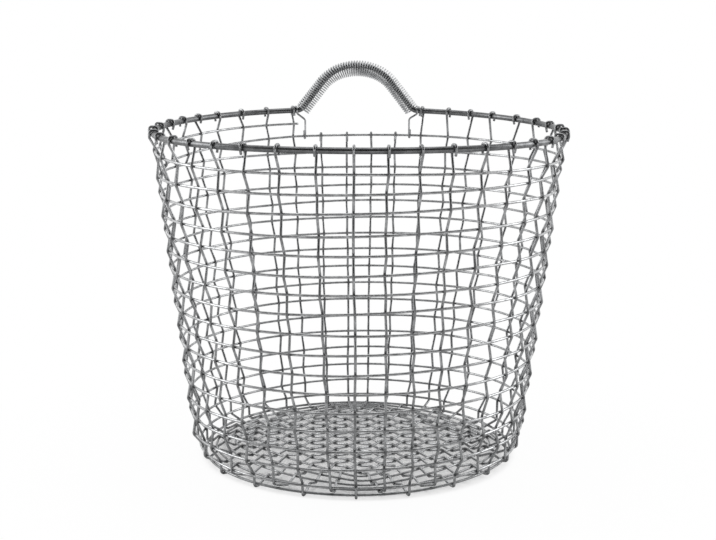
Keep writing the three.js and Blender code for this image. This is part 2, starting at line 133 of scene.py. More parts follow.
def stake_bearing(stake):
    """Stakes stand at equal steps, counted from the front towards the right, and were left a few degrees off.
    Bells of the bearing move them: two to the right at the front, the others towards the handle."""
    even = MAT_TURN + STAKE_STEP * (np.asarray(stake) - (WIRES_EACH_WAY - 1) / 2)
    front, back = from_front(even), even - 180
    to_right = 2.1 * bell(front, -5, 18) + 0.85 * bell(front, 48, 22)
    beside_handle = (1.3 + 3.0 * back / 22) * bell(back, 0, 25)
    back_left = 1.4 * bell(back, 38, 13) + 4.0 * bell(back, 80, 26)
    back_right = 2.7 * bell(back, -48, 11.5)
    return even + to_right - beside_handle - back_left + back_right


def leaned(bearing, height):
    """The bearing of a stake at a height. Low down the front ones lean to the right by up to two degrees, which
    fades evenly with height: a wide bell of the bearing, less a narrow one for the stake in the middle."""
    front = from_front(bearing)
    lean = 2.2 * bell(front, 15, 65) - 1.6 * bell(front, 0, 6)
    return bearing + lean * np.maximum(1 - height / LEAN_TOP, 0)


def foot_lift(bearing, height):
    """How far the foot and the rows next to it stand higher at the front right: a bell of the bearing, which
    fades evenly with height."""
    return FOOT_LIFT * bell(from_front(bearing), 55, 35) * np.maximum(1 - height / LIFT_TOP, 0)


def pass_side(stake, number):
    """+1 where a stake passes over or inside a crossing wire, -1 where it passes under or outside, by turns."""
    return 2 * ((stake + np.asarray(number)) % 2) - 1


def wall_radius(height):
    """The wall's straight slope: its radius grows evenly with height."""
    return WALL_FOOT_RADIUS + height * np.tan(WALL_SLOPE)


def saddle(bearing):
    """How far the rim stands off level, a few millimetres: cosines of the bearing and of its double."""
    turn = np.radians(bearing)
    return RIM_OFFSET + RIM_SADDLE * np.cos(2 * turn) - RIM_TILT * np.cos(turn)


def rim_height(bearing):
    """The rim's height: level but for its saddle."""
    return RIM_HEIGHT + saddle(bearing)


def weft_at(ring, bearing):
    """A weft ring's radius and height at bearings: a circle on the wall's slope that leans up to the front
    right, plus a few slow waves round it of about a millimetre, as hand weaving leaves. The lowest
    lies level and close above the foot ring, and those next to it sag a little at the front."""
    chance = np.random.default_rng(WEFT_SEED + ring)
    level = (SECOND_WEFT + (ring - 1) * WEFT_PITCH if ring else LOWEST_WEFT) + chance.normal(0, 0.5)
    waves = np.arange(2, 7)
    swing = chance.normal(0, 1, (2, waves.size)) / waves
    start = chance.uniform(0, 2 * np.pi, (2, waves.size))
    turn = np.radians(np.asarray(bearing, float))[..., None]
    wave = [(swing[i] * np.cos(waves * turn + start[i])).sum(-1) for i in (0, 1)]
    if ring == 0:
        height = level + foot_lift(bearing, level) + LOWEST_WAVE_UP * wave[1]
        return LOWEST_RADIUS + LOWEST_WAVE_OUT * wave[0], height
    radius = wall_radius(level)
    lean = radius * np.sin(WEFT_LEAN) * np.cos(turn[..., 0] - np.radians(LEAN_BEARING))
    sag = FRONT_SAG * max(0, 1 - ring / SAG_RINGS) * (0.5 + 0.5 * np.cos(turn[..., 0]))
    height = level + lean - sag + foot_lift(bearing, level) + WAVE_UP * wave[1]
    return radius + WAVE_OUT * wave[0], height


def top_weft_at(turned):
    """The top weft's radius and height: it falls evenly below the rim through one turn from its first end, with
    a slight sag at the left, and falls faster in the run that it makes past the turn."""
    turned = np.asarray(turned, float)
    height = rim_height(turned + stake_bearing(END_STAKE)) - TOP_WEFT_DROP - TOP_WEFT_FALL * turned / 360
    height = height - 2.0 * bell(turned, 95, 45) - EXTRA_STEEPNESS * np.maximum(turned - 360, 0)
    height = height + 0.5 * np.sin(np.radians(5 * turned)) + 0.4 * np.sin(np.radians(2 * turned))
    return wall_radius(height), height


def beside(radius, bearing, height, out):
    """A point beside a wire in the wall, at a distance along the wall's own normal."""
    return place(radius + out * np.cos(WALL_SLOPE), bearing, height - out * np.sin(WALL_SLOPE))


def leaves_towards(stake):
    """The level direction in which a stake's wire leaves the mat: square to the side that it belongs to."""
    return outward(MAT_TURN + 90 * (stake // WIRES_EACH_WAY))


def runs_out_to(stake):
    """The ground-plan point where a stake's wire stops running straight on from the mat."""
    heading = leaves_towards(stake)
    offset = MAT_PITCH * (stake % WIRES_EACH_WAY - (WIRES_EACH_WAY - 1) / 2)
    return heading * (MAT_EDGE + RUN_OUT) - right_of(heading) * offset


def towards_foot(stake, share):
    """Points at shares of the straight way from there to the foot ring, at the floor's falling height."""
    share = np.asarray(share, float)
    start = runs_out_to(stake)
    bearing = leaned(stake_bearing(stake), 0.0)
    spots = start + share[..., None] * (place(FOOT_RADIUS, bearing, 0.0) - start)
    spots[..., 2] = MAT_LEVEL + (FOOT_LEVEL + foot_lift(bearing, 0.0) - MAT_LEVEL) * share
    return spots


def stake_line(stake):
    """A stake's middle line from the mat to its tip: corner points, the heading at each, and the bend radius
    there. Each crossing moves the wire off the wire that it passes, to alternate sides."""
    chance = np.random.default_rng(STAKE_SEED + stake)
    bearing = stake_bearing(stake)
    fan = (towards_foot(stake, 1.0) - runs_out_to(stake)) * [1, 1, 0]
    fan = fan / np.linalg.norm(fan)
    points, headings, bends = [], [], []
    if stake % WIRES_EACH_WAY in (0, WIRES_EACH_WAY - 1):
        points.append(towards_foot(stake, np.zeros(1)))
        headings.append([leaves_towards(stake) + fan])
        bends.append([MAT_BEND])
    passes = np.arange(1, FOOT_PASS)
    base = towards_foot(stake, BASE_RING_PLACES + chance.normal(0, 0.004, len(passes)))
    base[:, 2] += pass_side(stake, passes) * RING_CROSSING
    points.append(base)
    headings.append([fan] * len(passes))
    bends.append([BASE_BEND] * len(passes))

    foot = leaned(bearing, 0.0)
    lift = foot_lift(foot, 0.0)
    low_radius, low_height = weft_at(0, foot)
    if pass_side(stake, FOOT_PASS) > 0:
        radii = [FOOT_RADIUS - INSIDE_FOOT, low_radius + OUTSIDE_LOWEST]
        heights = [FOOT_LEVEL + lift + INSIDE_FOOT, low_height - OUTSIDE_LOWEST]
        bends.append(INSIDE_FOOT_BENDS)
    else:
        radii = [FOOT_RADIUS - UNDER_FOOT_IN, FOOT_RADIUS + UNDER_FOOT_OUT, low_radius - WEFT_CROSSING]
        heights = [STAKE_WIRE / 2 + lift, STAKE_WIRE / 2 + lift, low_height + ABOVE_LOWEST]
        bends.append(UNDER_FOOT_BENDS)
    points.append(place(radii, [foot] * len(radii), heights))

    rings = np.arange(1, WEFT_RINGS)
    sway = 0.17 * np.sin(rings * chance.uniform(0.25, 0.6) + chance.uniform(0, 6.3))
    swayed = leaned(bearing, SECOND_WEFT + (rings - 1) * WEFT_PITCH) + sway + chance.normal(0, 0.07, len(rings))
    radius, height = np.array([weft_at(ring, turned) for ring, turned in zip(rings, swayed)]).T
    points.append(beside(radius, swayed, height, -pass_side(stake, FOOT_PASS + 1 + rings) * WEFT_CROSSING))
    bends.append([WALL_BEND] * len(rings))

    end_bearing = stake_bearing(END_STAKE)
    turned = 360.0 if stake == END_STAKE else (bearing - end_bearing) % 360
    side = pass_side(stake, TOP_PASS)
    if 0 < turned < TOP_WEFT_EXTRA:
        radius, height = top_weft_at(turned + 360)
        points.append(beside(radius, bearing, height, -side * WEFT_CROSSING)[None])
        bends.append([WALL_BEND])
        side = -side
    radius, height = top_weft_at(turned)
    points.append(beside(radius, bearing, height, -side * WEFT_CROSSING)[None])
    bends.append([WALL_BEND])
    if stake in UNDER_HANDLE:
        reach = side * WEFT_CROSSING
        radii = radius + np.array([-reach, reach, reach])
        heights = height + np.array([WEFT_CROSSING, WEFT_CROSSING, -SHORT_TAIL])
        points.append(place(radii, [bearing] * 3, heights))
        bends.append(SHORT_HOOK_BENDS)
    else:
        if stake == END_STAKE:
            radius, height = top_weft_at(0.0)
            points.append(beside(radius, bearing, height, side * WEFT_CROSSING)[None])
            bends.append([WALL_BEND])
            side = -side
        reach = -side * HOOK_REACH
        radii = RIM_RADIUS + reach * np.array([-1, -1, 1, 1, HOOK_CLOSING])
        tail = HOOK_TAIL + chance.normal(0, 0.5)
        heights = rim_height(bearing) + np.array([-RIM_ROD / 2, HOOK_REACH, HOOK_REACH, -HOOK_SHOULDER, -tail])
        points.append(place(radii, [bearing] * 5, heights))
        bends.append(RIM_HOOK_BENDS)
    points, headings = np.concatenate(points), np.concatenate(headings)
    upright_part = np.tile(outward(bearing), (len(points) - len(headings), 1))
    return points, np.concatenate([headings, upright_part]), np.concatenate(bends)


def rounded(points, across, bends, closed=False, arc=6, straight=3):
    """A line of corners drawn with round bends. At each corner the line leaves its two sides at a distance of
    bend radius times the tangent of half the turn, and follows the circular arc between these two places, as
    the rational quadratic curve with the corner as its middle point. Straight runs between are cut evenly.
    The vector across the wire is carried along."""
    if closed:
        before, after = np.roll(points, 1, 0), np.roll(points, -1, 0)
        corner, side = points, across
    else:
        before, after = points[:-2], points[2:]
        corner, side, bends = points[1:-1], across[1:-1], bends[1:-1]
    back, ahead = before - corner, after - corner
    back_length = np.linalg.norm(back, axis=1, keepdims=True)
    ahead_length = np.linalg.norm(ahead, axis=1, keepdims=True)
    back, ahead = back / back_length, ahead / ahead_length
    half_inside = np.arccos(np.clip((back * ahead).sum(1, keepdims=True), -1, 1)) / 2
    trim = np.asarray(bends, float)[:, None] / np.maximum(np.tan(half_inside), 1e-6)
    trim = np.minimum(trim, 0.48 * np.minimum(back_length, ahead_length))
    start, stop = corner + back * trim, corner + ahead * trim
    u = np.linspace(0, 1, arc)[None, :, None]
    weight = 2 * u * (1 - u) * np.sin(half_inside)[:, None]
    arcs = (1 - u) ** 2 * start[:, None] + weight * corner[:, None] + u**2 * stop[:, None]
    arcs = arcs / ((1 - u) ** 2 + weight + u**2)
    v = np.linspace(0, 1, straight + 2)[None, 1:-1, None]
    if closed:
        onward, onward_side = np.roll(start, -1, 0), np.roll(side, -1, 0)
    else:
        onward = np.concatenate([start[1:], points[-1:]])
        onward_side = np.concatenate([side[1:], across[-1:]])
    runs = (1 - v) * stop[:, None] + v * onward[:, None]
    run_sides = (1 - v) * side[:, None] + v * onward_side[:, None]
    line = np.concatenate([arcs, runs], 1).reshape(-1, 3)
    sides = np.concatenate([np.repeat(side[:, None], arc, 1), run_sides], 1).reshape(-1, 3)
    if not closed:
        lead = (1 - v[0]) * points[:1] + v[0] * start[:1]
        line = np.concatenate([points[:1], lead, line, points[-1:]])
        sides = np.concatenate([across[:1], np.repeat(across[:1], straight, 0), sides, across[-1:]])
    return line, sides


def swept(line, across, radius, sides, closed=False):
    """A round wire along a line: at each point a circle square to the line, with its first axis the given
    vector made square to it. The ends of an open wire are cut off square with a small bevel."""
    if closed:
        along = np.roll(line, -1, 0) - np.roll(line, 1, 0)
        radii = np.full(len(line), radius)
    else:
        bevel = 0.25 * radius
        first, last = line[1] - line[0], line[-2] - line[-1]
        inner = line[0] + bevel * first / np.linalg.norm(first), line[-1] + bevel * last / np.linalg.norm(last)
        line = np.concatenate([line[:1], inner[0][None], line[1:-1], inner[1][None], line[-1:]])
        across = np.concatenate([across[:1], across, across[-1:]])
        along = np.gradient(line, axis=0)
        radii = np.full(len(line), radius)
        radii[[0, -1]] = 0.75 * radius
    along = along / np.linalg.norm(along, axis=1, keepdims=True)
    second = np.cross(along, across)
    second = second / np.linalg.norm(second, axis=1, keepdims=True)
    first = np.cross(second, along)
    turn = 2 * np.pi * np.arange(sides) / sides
    circle = first[:, None] * np.cos(turn)[None, :, None] + second[:, None] * np.sin(turn)[None, :, None]
    return line, line[:, None] + radii[:, None, None] * circle


def tube_mesh(name, rings, closed, near):
    """A mesh of quads between successive rings of points, with a flat cap on each end of an open tube. Near
    is one number a ring, kept on its points as the attribute crossing: 1 where another wire touches."""
    count, sides = rings.shape[:2]
    ring = np.arange(count if closed else count - 1)[:, None]
    step = np.arange(sides)[None]
    onward, beside_it = (ring + 1) % count, (step + 1) % sides
    quads = np.stack([ring * sides + step, ring * sides + beside_it,
                      onward * sides + beside_it, onward * sides + step], -1).reshape(-1, 4)
    corners = quads.ravel()
    starts = 4 * np.arange(len(quads))
    if not closed:
        caps = [np.arange(sides)[::-1], (count - 1) * sides + np.arange(sides)]
        corners = np.concatenate([corners, *caps])
        starts = np.append(starts, 4 * len(quads) + sides * np.arange(2))
    mesh = bpy.data.meshes.new(name)
    mesh.vertices.add(count * sides)
    mesh.vertices.foreach_set("co", (rings.reshape(-1) * MILLIMETRE).astype(np.float32))
    mesh.loops.add(len(corners))
    mesh.loops.foreach_set("vertex_index", corners.astype(np.int32))
    mesh.polygons.add(len(starts))
    mesh.polygons.foreach_set("loop_start", starts.astype(np.int32))
    smooth = np.ones(len(starts), bool)
    smooth[len(quads):] = False
    mesh.polygons.foreach_set("use_smooth", smooth)
    mesh.update(calc_edges=True)
    crossing = mesh.attributes.new("crossing", "FLOAT", "POINT")
    crossing.data.foreach_set("value", np.repeat(near, sides).astype(np.float32))
    return mesh


# The nearness to touching wires is the mask for the painted shade at crossings.
def nearness(line, places, reach=2.6):
    """How near each point of a line is to the places where other wires touch: a bell of the distance."""
    if len(places) == 0:
        return np.zeros(len(line))
    apart = np.linalg.norm(line[:, None] - places[None], axis=2).min(1)
    return np.exp(-((apart / reach) ** 2))


def zinc_coat():
    """A shader node group for galvanised steel that has been outdoors. Slow patches mix a bright and a dull
    zinc, small crystal cells shift each a little, and painted shade darkens the colour where wires touch,
    where the roughness rises too. It gives the colour, the roughness, and a height of fine grain and cells for a
    bump."""
    group = bpy.data.node_groups.new("zinc_coat", "ShaderNodeTree")
    for name, kind, value in (("Bright", "NodeSocketColor", (0.6, 0.61, 0.62, 1)),
                              ("Dull", "NodeSocketColor", (0.35, 0.36, 0.37, 1)),
                              ("Patches", "NodeSocketFloat", 70.0), ("Crystals", "NodeSocketFloat", 420.0),
                              ("Smooth", "NodeSocketFloat", 0.28), ("Rough", "NodeSocketFloat", 0.5),
                              ("Crossing", "NodeSocketFloat", 0.0)):
        group.interface.new_socket(name, in_out="INPUT", socket_type=kind).default_value = value
    for name, kind in (("Color", "NodeSocketColor"), ("Roughness", "NodeSocketFloat"),
                       ("Height", "NodeSocketFloat")):
        group.interface.new_socket(name, in_out="OUTPUT", socket_type=kind)
    nodes, links = group.nodes, group.links
    given, result = nodes.new("NodeGroupInput"), nodes.new("NodeGroupOutput")
    where = nodes.new("ShaderNodeTexCoord").outputs["Object"]

    patches = nodes.new("ShaderNodeTexNoise")
    patches.inputs["Detail"].default_value = 4.0
    patches.inputs["Roughness"].default_value = 0.6
    links.new(where, patches.inputs["Vector"])
    links.new(given.outputs["Patches"], patches.inputs["Scale"])
    spread = nodes.new("ShaderNodeMapRange")
    spread.inputs["From Min"].default_value = 0.34
    spread.inputs["From Max"].default_value = 0.66
    links.new(patches.outputs["Fac"], spread.inputs["Value"])

    crystals = nodes.new("ShaderNodeTexVoronoi")
    links.new(where, crystals.inputs["Vector"])
    links.new(given.outputs["Crystals"], crystals.inputs["Scale"])
    cell = nodes.new("ShaderNodeSeparateColor")
    links.new(crystals.outputs["Color"], cell.inputs["Color"])

    grain = nodes.new("ShaderNodeTexNoise")
    grain.inputs["Scale"].default_value = 2600.0
    grain.inputs["Detail"].default_value = 2.0
    links.new(where, grain.inputs["Vector"])

    zinc = nodes.new("ShaderNodeMix")
    zinc.data_type = "RGBA"
    links.new(spread.outputs["Result"], zinc.inputs["Factor"])
    links.new(given.outputs["Dull"], zinc.inputs["A"])
    links.new(given.outputs["Bright"], zinc.inputs["B"])
    tone = nodes.new("ShaderNodeMapRange")
    tone.inputs["To Min"].default_value = 0.86
    tone.inputs["To Max"].default_value = 1.12
    links.new(cell.outputs["Red"], tone.inputs["Value"])
    celled = nodes.new("ShaderNodeVectorMath")
    celled.operation = "SCALE"
    links.new(zinc.outputs["Result"], celled.inputs["Vector"])
    links.new(tone.outputs["Result"], celled.inputs["Scale"])
    # Painted shade: the colour is darkened to 0.62 of itself where another wire touches, for the shade between
    # crossing wires.
    painted_crossing_shade = nodes.new("ShaderNodeMapRange")
    painted_crossing_shade.inputs["To Min"].default_value = 1.0
    painted_crossing_shade.inputs["To Max"].default_value = 0.62
    links.new(given.outputs["Crossing"], painted_crossing_shade.inputs["Value"])
    crossing_shaded = nodes.new("ShaderNodeVectorMath")
    crossing_shaded.operation = "SCALE"
    links.new(celled.outputs["Vector"], crossing_shaded.inputs["Vector"])
    links.new(painted_crossing_shade.outputs["Result"], crossing_shaded.inputs["Scale"])
    links.new(crossing_shaded.outputs["Vector"], result.inputs["Color"])

    mattness = nodes.new("ShaderNodeMapRange")
    links.new(spread.outputs["Result"], mattness.inputs["Value"])
    links.new(given.outputs["Rough"], mattness.inputs["To Min"])
    links.new(given.outputs["Smooth"], mattness.inputs["To Max"])
    dusty = nodes.new("ShaderNodeMath")
    dusty.operation = "MULTIPLY_ADD"
    dusty.inputs[1].default_value = 0.2
    links.new(given.outputs["Crossing"], dusty.inputs[0])
    links.new(mattness.outputs["Result"], dusty.inputs[2])
    links.new(dusty.outputs["Value"], result.inputs["Roughness"])

    relief = nodes.new("ShaderNodeMath")
    relief.operation = "MULTIPLY_ADD"
    relief.inputs[1].default_value = 0.6
    links.new(cell.outputs["Green"], relief.inputs[0])
    links.new(grain.outputs["Fac"], relief.inputs[2])
    links.new(relief.outputs["Value"], result.inputs["Height"])
    return group


def zinc_material(name, bright, dull, smooth, rough, patches, crystals, bump):
    """Galvanised steel: a metal whose colour, roughness and bump come from the zinc coat."""
    material = bpy.data.materials.new(name)
    material.use_nodes = True
    nodes, links = material.node_tree.nodes, material.node_tree.links
    shader = nodes["Principled BSDF"]
    shader.inputs["Metallic"].default_value = 0.9
    coat = nodes.new("ShaderNodeGroup")
    coat.node_tree = ZINC_COAT
    for socket, value in (("Bright", (*bright, 1)), ("Dull", (*dull, 1)), ("Smooth", smooth), ("Rough", rough),
                          ("Patches", patches), ("Crystals", crystals)):
        coat.inputs[socket].default_value = value
    crossing = nodes.new("ShaderNodeAttribute")
    crossing.attribute_name = "crossing"
    links.new(crossing.outputs["Fac"], coat.inputs["Crossing"])
    relief = nodes.new("ShaderNodeBump")
    relief.inputs["Strength"].default_value = bump
    relief.inputs["Distance"].default_value = 0.0002
    links.new(coat.outputs["Color"], shader.inputs["Base Color"])
    links.new(coat.outputs["Roughness"], shader.inputs["Roughness"])
    links.new(coat.outputs["Height"], relief.inputs["Height"])
    links.new(relief.outputs["Normal"], shader.inputs["Normal"])
    return material


def add_wire(node, line, across, diameter, sides, material, touches, closed=False):
    """One finished wire in place of its plain solid: swept round along its line, in its own finish."""
    line, rings = swept(line, across, diameter / 2, sides, closed)
    mesh = tube_mesh(node + "_round", rings, closed, nearness(line, touches))
    mesh.materials.append(material)
    wire = bpy.data.objects.new(node + "_round", mesh)
    bpy.context.scene.collection.objects.link(wire)
    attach(wire, "root")
    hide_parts(node)


def mat_points(wire, from_right):
    """A wire's crossings in the mat: equal steps across it, up and down by turns, turned with the mat."""
    chance = np.random.default_rng(MAT_SEED + wire + MAT_SEED_STEP * from_right)
    others = np.arange(WIRES_EACH_WAY)
    offset = MAT_PITCH * (wire - (WIRES_EACH_WAY - 1) / 2) + chance.normal(0, 0.35, WIRES_EACH_WAY)
    run = MAT_PITCH * (others - (WIRES_EACH_WAY - 1) / 2)
    x, y = (offset, run) if from_right else (run, offset)
    turn = np.radians(MAT_TURN)
    crimp = (1 if from_right else -1) * pass_side(wire, others) * MAT_CRIMP
    plan_x, plan_y = x * np.cos(turn) - y * np.sin(turn), x * np.sin(turn) + y * np.cos(turn)
    return np.stack([plan_x, plan_y, MAT_LEVEL + crimp], -1)


def wire_line(first_stake, last_stake, mat):
    """A whole wire from tip to tip: one stake's line inwards, the mat, and the other stake's line outwards."""
    down, down_heading, down_bends = stake_line(first_stake)
    up, up_heading, up_bends = stake_line(last_stake)
    points = np.concatenate([down[::-1], mat, up])
    across_mat = np.tile(leaves_towards(last_stake), (len(mat), 1))
    headings = np.concatenate([-down_heading[::-1], across_mat, up_heading])
    bends = np.concatenate([down_bends[::-1], np.full(len(mat), MAT_BEND), up_bends])
    line, across = rounded(points, right_of(headings), bends)
    return line, across, points


ZINC_COAT = zinc_coat()
STAKE_ZINC = zinc_material("zinc_on_stakes", bright=(0.53, 0.538, 0.546), dull=(0.29, 0.294, 0.3),
                           smooth=0.12, rough=0.26, patches=75.0, crystals=430.0, bump=0.1)
for wire in range(WIRES_EACH_WAY):
    for kind, from_right, ends in (("front_right_wire", True, (wire, 3 * WIRES_EACH_WAY - 1 - wire)),
                                   ("front_left_wire", False, (STAKES - 1 - wire, WIRES_EACH_WAY + wire))):
        line, across, touches = wire_line(*ends, mat_points(wire, from_right))
        add_wire(f"{kind}_{wire + 1:02d}", line, across, STAKE_WIRE, WIRE_SIDES, STAKE_ZINC, touches)


# The base rings. Four wires run round the floor between the mat and the foot ring, and every floor wire passes
# over and under them by turns. They go from nearly square to nearly round, each lower than the one inside it.
RING_WIRE = 2.7
RING_BEND = 60.0
BASE_ZINC = zinc_material("zinc_on_base_rings", bright=(0.54, 0.548, 0.556), dull=(0.31, 0.314, 0.32),
                          smooth=0.14, rough=0.3, patches=75.0, crystals=430.0, bump=0.1)
for ring, share in enumerate(BASE_RING_PLACES):
    corners = np.array([towards_foot(stake, share) for stake in range(STAKES)])
    upward = np.tile(UPRIGHT, (STAKES, 1))
    line, across = rounded(corners, upward, np.full(STAKES, RING_BEND), closed=True, arc=5, straight=2)
    add_wire(f"base_ring_{ring + 1}", line, across, RING_WIRE, WIRE_SIDES, BASE_ZINC, corners, closed=True)


# The foot ring. One thicker wire, closed to a circle, is the bottom edge that the stakes turn up round: every
# second stake passes under it, and the basket stands on these turns.
FOOT_WIRE = 3.0
FOOT_SIDES = 12
FOOT_ZINC = zinc_material("zinc_on_foot_ring", bright=(0.49, 0.498, 0.506), dull=(0.3, 0.305, 0.311),
                          smooth=0.25, rough=0.45, patches=75.0, crystals=430.0, bump=0.12)
round_trip = np.arange(0, 360, 1.0)
round_upward = np.tile(UPRIGHT, (len(round_trip), 1))
stake_bearings = stake_bearing(np.arange(STAKES))
foot_bearings = leaned(stake_bearings, 0.0)
line = place(np.full(len(round_trip), FOOT_RADIUS), round_trip, FOOT_LEVEL + foot_lift(round_trip, 0.0))
touches = place(np.full(STAKES, FOOT_RADIUS), foot_bearings, FOOT_LEVEL + foot_lift(foot_bearings, 0.0))
add_wire("foot_ring", line, round_upward, FOOT_WIRE, FOOT_SIDES, FOOT_ZINC, touches, closed=True)


# The wefts. Sixteen closed rings of wire go round the wall inside and outside the stakes by turns, each a
# little wider than the one below. They lean a little and wave a little, as the weaver left them.
WEFT_WIRE = 3.0
# Painted highlight: the wefts' zinc is painted lighter than the stakes' zinc of the same wire, for the light
# that level wires catch.
LIT_WEFT_ZINC = zinc_material("zinc_on_wefts_painted_lighter", bright=(0.68, 0.689, 0.698), dull=(0.4, 0.405, 0.412),
                          smooth=0.12, rough=0.26, patches=75.0, crystals=430.0, bump=0.1)
for ring in range(WEFT_RINGS):
    radius, height = weft_at(ring, round_trip)
    line = place(radius, round_trip, height)
    touch_bearings = leaned(stake_bearings, SECOND_WEFT + (ring - 1) * WEFT_PITCH if ring else 0.0)
    touch_radius, touch_height = weft_at(ring, touch_bearings)
    touches = place(touch_radius, touch_bearings, touch_height)
    add_wire(f"weft_{ring + 1:02d}", line, round_upward, WEFT_WIRE, WIRE_SIDES, LIT_WEFT_ZINC, touches,
             closed=True)


# The top weft. The last round is an open wire that falls by most of a row through its turn. Its upper end turns
# back round the stake beside the handle's left foot, and its lower end runs on below that to the left.
END_HOOK = 5.0
END_BENDS = [1.0, 2.9, 2.9]
ROUND_BEND = 30.0
TOP_WEFT_STEP = 1.5
turned = np.arange(0, 360 + TOP_WEFT_EXTRA, TOP_WEFT_STEP)
radius, height = top_weft_at(turned)
end_bearing = stake_bearing(END_STAKE)
wound = place(radius, end_bearing + turned, height)
hook_out = -2 * WEFT_CROSSING * pass_side(END_STAKE, TOP_PASS)


def weft_hook(turn, past, out):
    """Points of a hooked weft end: so far past the stake along the wall, and so far out from the weft."""
    end_radius, end_height = top_weft_at(turn)
    bearings = end_bearing + turn + np.degrees(np.asarray(past) / end_radius)
    return beside(end_radius, bearings, np.full(len(past), end_height), np.asarray(out, float))


first_hook = weft_hook(0.0, [END_HOOK, -END_HOOK, -END_HOOK], [-hook_out, -hook_out, 0.0])
corners = np.concatenate([first_hook, wound])
bends = np.concatenate([END_BENDS, np.full(len(wound), ROUND_BEND)])
line, across = rounded(corners, np.tile(UPRIGHT, (len(corners), 1)), bends, arc=4, straight=1)
touch_radius, touch_height = top_weft_at((stake_bearings - end_bearing) % 360)
touches = place(touch_radius, stake_bearings, touch_height)
add_wire("weft_top", line, across, WEFT_WIRE, WIRE_SIDES, LIT_WEFT_ZINC, touches)


# The rim rod. One steel rod closed to a circle is bent up at the back into the handle's arch: a round crown,
# two straight legs and a bend at the foot of each. The stakes' hooks hold it, and it is the darkest piece.
HALF_SPAN = 75.0
HANDLE_RISE = 58.2
HANDLE_BEARING = 179.4
ROD_SIDES = 20
ARCH_POINTS = 141
RIM_POINTS = 260
LEG_SLOPE = np.radians(51)
BEND_RADIUS = 14.0
CROWN_RADIUS = (HALF_SPAN * np.tan(LEG_SLOPE) - HANDLE_RISE) / (1 / np.cos(LEG_SLOPE) - 1)
BEND_REACH = BEND_RADIUS * np.tan(LEG_SLOPE / 2)
CROWN_ARC = CROWN_RADIUS * LEG_SLOPE
CROWN_HALF = CROWN_RADIUS * np.sin(LEG_SLOPE)
LEG_LENGTH = (HALF_SPAN - BEND_REACH * np.cos(LEG_SLOPE) - CROWN_HALF) / np.cos(LEG_SLOPE)
BEND_ARC = BEND_RADIUS * LEG_SLOPE
HANDLE_FOOT = HALF_SPAN + BEND_REACH


def handle_at(along):
    """The arch at lengths from its crown, unrolled flat: how far across, how far up, and its lean. An arc of
    the crown's radius, then a straight leg, then an arc of the bend's radius the other way down to the rim."""
    side, length = np.sign(along), np.abs(along)
    on_crown, on_leg = length <= CROWN_ARC, length <= CROWN_ARC + LEG_LENGTH
    lean = np.where(on_crown, length / CROWN_RADIUS, LEG_SLOPE)
    lean = np.where(on_leg, lean, LEG_SLOPE - (length - CROWN_ARC - LEG_LENGTH) / BEND_RADIUS)
    down = length - CROWN_ARC
    crown_foot = HANDLE_RISE - CROWN_RADIUS * (1 - np.cos(LEG_SLOPE))
    across = np.select([on_crown, on_leg], [CROWN_RADIUS * np.sin(lean), CROWN_HALF + down * np.cos(LEG_SLOPE)],
                       HANDLE_FOOT - BEND_RADIUS * np.sin(lean))
    up = np.select([on_crown, on_leg], [HANDLE_RISE - CROWN_RADIUS * (1 - np.cos(lean)),
                                        crown_foot - down * np.sin(LEG_SLOPE)], BEND_RADIUS * (1 - np.cos(lean)))
    return side * across, up, side * lean


def handle_bearing(across):
    """The bearing of a place on the arch, which stands on the rim's own cylinder at the back."""
    return HANDLE_BEARING - np.degrees(across / RIM_RADIUS)


ROD_ZINC = zinc_material("zinc_on_rim_rod", bright=(0.24, 0.244, 0.249), dull=(0.135, 0.138, 0.142),
                         smooth=0.2, rough=0.34, patches=60.0, crystals=330.0, bump=0.15)
arch_length = CROWN_ARC + LEG_LENGTH + BEND_ARC
across_arch, up, _ = handle_at(np.linspace(arch_length, -arch_length, ARCH_POINTS))
arch_bearing = handle_bearing(across_arch)
rim_bearing = np.linspace(arch_bearing[-1], 360 + arch_bearing[0], RIM_POINTS)[1:-1]
rod_bearing = np.concatenate([arch_bearing, rim_bearing])
rod_height = rim_height(rod_bearing) + np.concatenate([up, np.zeros(len(rim_bearing))])
line = place(np.full(len(rod_bearing), RIM_RADIUS), rod_bearing, rod_height)
hooked = stake_bearing(np.setdiff1d(np.arange(STAKES), UNDER_HANDLE))
touches = place(np.full(len(hooked), RIM_RADIUS), hooked, rim_height(hooked))
add_wire("rim_rod", line, outward(rod_bearing), RIM_ROD, ROD_SIDES, ROD_ZINC, touches, closed=True)


# The grip. A spring of thin galvanised wire was threaded on the arch before the rim was closed. It is wider
# than the rod and hangs on it: the rod lies in the top of its bore at the crown and in its middle on the legs.
SPRING_WIRE = 1.8
SPRING_CURLS = 62
SPRING_DIAMETER = 21.2
LEG_NARROWING = 1.6
SPRING_HANG = 4.2
SPRING_OVERRUN = 5.4
SPRING_SIDES = 8
STEPS_A_CURL = 40
BORE_POINTS = 801
SPRING_ZINC = zinc_material("zinc_on_spring", bright=(0.64, 0.65, 0.66), dull=(0.46, 0.466, 0.474),
                            smooth=0.3, rough=0.44, patches=110.0, crystals=520.0, bump=0.08)


def bore_at(along):
    """The middle of the spring's bore at lengths along the arch, unrolled flat, and its lean. It hangs below
    the rod, less on the legs, and runs straight on past the end of a leg, where the rod bends away."""
    past = np.maximum(np.abs(along) - CROWN_ARC - LEG_LENGTH, 0)
    across, up, lean = handle_at(along - np.sign(along) * past)
    hang = SPRING_HANG * np.cos(lean) ** 3
    across = across + np.sign(along) * past * np.cos(LEG_SLOPE) - hang * np.sin(lean)
    return across, up - past * np.sin(LEG_SLOPE) - hang * np.cos(lean), lean


